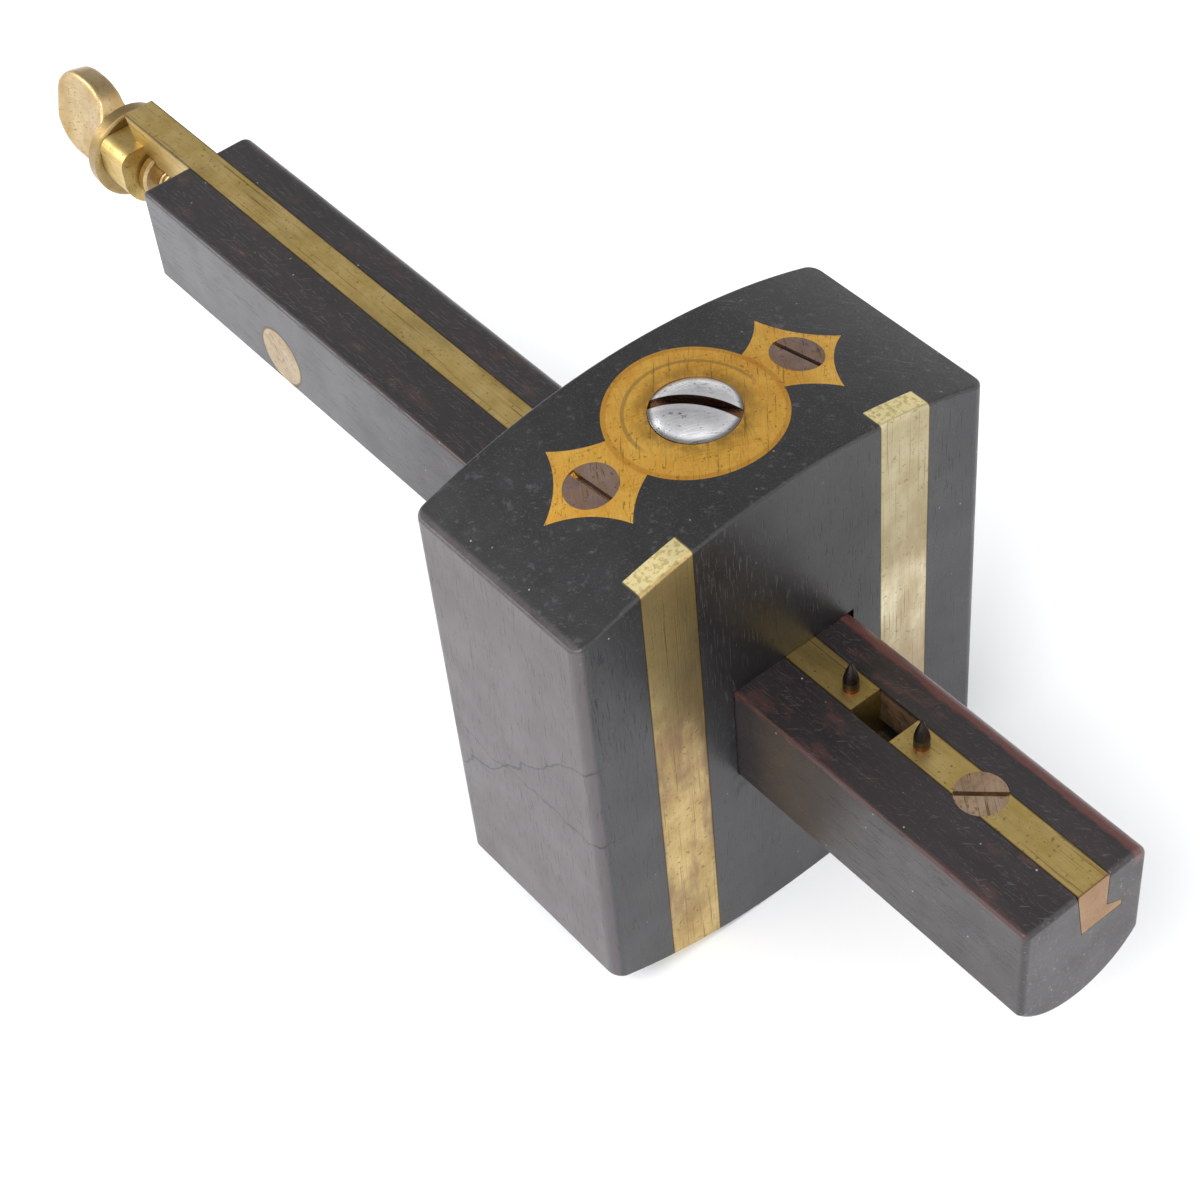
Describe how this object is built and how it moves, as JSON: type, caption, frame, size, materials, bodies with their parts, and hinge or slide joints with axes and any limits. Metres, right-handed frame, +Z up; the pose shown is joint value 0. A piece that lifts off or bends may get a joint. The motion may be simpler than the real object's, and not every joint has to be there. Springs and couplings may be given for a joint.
{
  "type": "marking gauge",
  "caption": "Mortise marking gauge: arched hardwood head sliding on a stem with a fixed and a screw-adjusted marking pin, brass wear strips, lock plate and thumbscrew.",
  "frame": {"origin": "middle of the whole tool's outline, on the surface that the head stands on", "axes": "+X along the stem towards the pins, +Z up, out of the lock plate"},
  "size_m": [0.2303, 0.065, 0.0787],
  "materials": {
    "ebony": "waxed, worn",
    "stem_ebony": "waxed, worn",
    "strip_brass": "satin, tarnished",
    "plate_brass": "satin, scratched",
    "bar_brass": "satin, tarnished",
    "nut_brass": "satin",
    "thumb_brass": "polished, worn",
    "polished_steel": "polished",
    "brown_steel": "browned",
    "pin_steel": "filed, darkened"
  },
  "bodies": {
    "head": {"head_block": "ebony", "wear_strip_left": "strip_brass", "wear_strip_right": "strip_brass", "lock_plate": "plate_brass", "lock_bush": "strip_brass", "plate_screws": "brown_steel"},
    "pad": {"pressure_pad": "strip_brass"},
    "lock": {"lock_screw": "polished_steel"},
    "stem_body": {"stem": "stem_ebony", "fixed_strip": "bar_brass", "fixed_pin": "pin_steel", "strip_screw": "brown_steel", "barrel_nut": "nut_brass"},
    "slide": {"slide_bar": "bar_brass", "moving_pin": "pin_steel"},
    "thumb": {"thumbscrew": "thumb_brass"}
  },
  "joints": [
    {"name": "stem_slide", "type": "slide", "parent": "head", "child": "stem_body", "axis": [1, 0, 0], "range_m": [-0.0015, 0.095]},
    {"name": "pad_lift", "type": "slide", "parent": "head", "child": "pad", "axis": [0, 0, 1], "range_m": [0, 0.0015]},
    {"name": "lock_turn", "type": "hinge", "parent": "pad", "child": "lock", "pos_m": [0.04965, 0, 0.077], "axis": [0, 0, 1], "range_deg": [0, 540]},
    {"name": "pin_slide", "type": "slide", "parent": "stem_body", "child": "slide", "axis": [1, 0, 0], "range_m": [-0.0062, 0.0062]},
    {"name": "thumb_turn", "type": "hinge", "parent": "slide", "child": "thumb", "pos_m": [-0.08655, 0.001, 0.0356], "axis": [1, 0, 0], "range_deg": [-2233, 2233]}
  ],
  "couplings": [
    {"joint": "lock_turn", "follows": "pad_lift", "rad_per_m": 6283.2},
    {"joint": "thumb_turn", "follows": "pin_slide", "rad_per_m": 6283.2}
  ]
}
